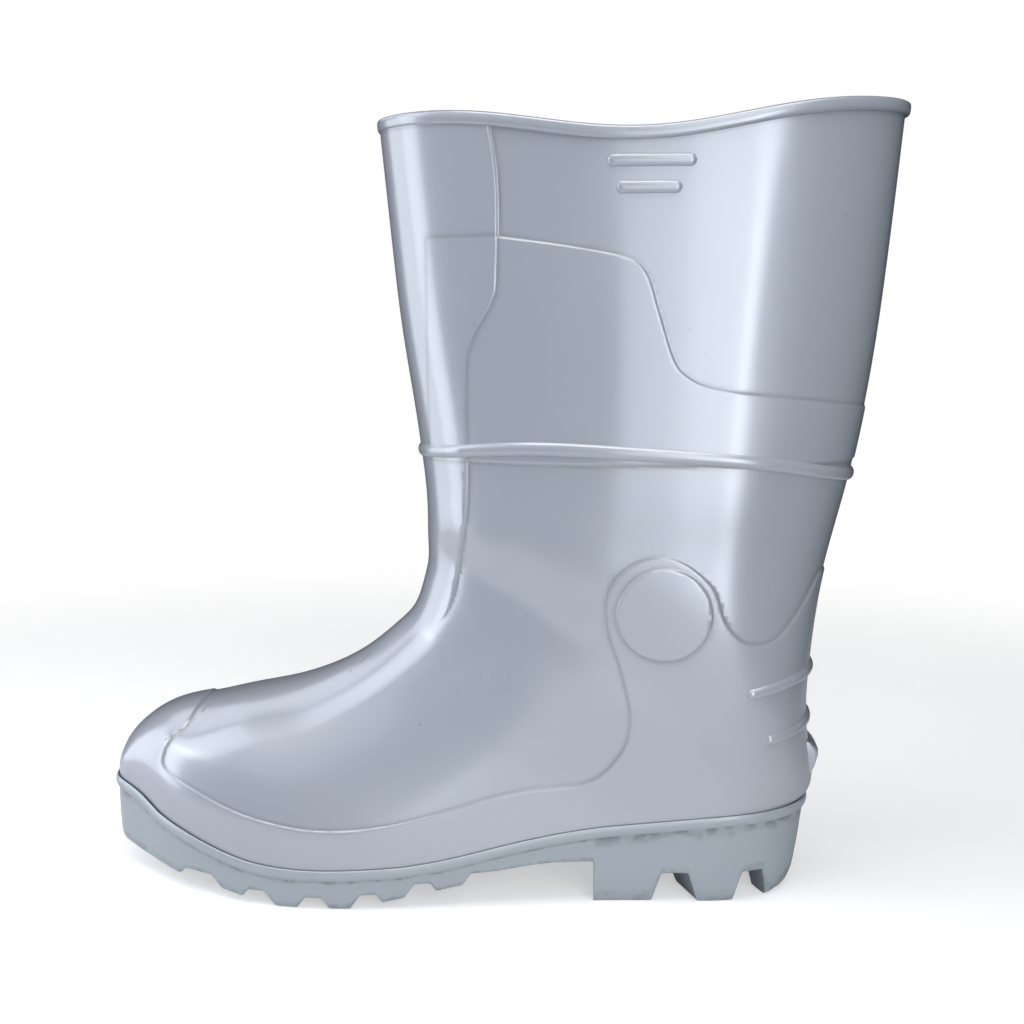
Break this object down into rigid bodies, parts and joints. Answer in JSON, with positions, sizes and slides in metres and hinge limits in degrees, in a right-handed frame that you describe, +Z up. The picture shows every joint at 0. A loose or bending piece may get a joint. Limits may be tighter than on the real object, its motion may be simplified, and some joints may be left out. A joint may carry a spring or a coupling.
{
  "type": "tall work boot",
  "caption": "Tall pull-on work boot for the left foot, moulded in glossy pale grey PVC with a raised mudguard line, an instep panel, a ring round the leg and a lugged cup sole",
  "frame": {"origin": "on the floor, under the middle of the boot's bounding box", "axes": "+X from toe to heel, -Y the outer side of the left foot, +Z up"},
  "size_m": [0.3212, 0.1024, 0.308],
  "materials": {
    "upper_pvc": "glossy moulded PVC, bluish white",
    "sole_pvc": "satin to glossy moulded PVC, slightly bluer and duller",
    "footbed": "matt felt on foam"
  },
  "bodies": {
    "root": {"upper": "upper_pvc", "outsole": "sole_pvc", "insole": "footbed"}
  },
  "joints": []
}
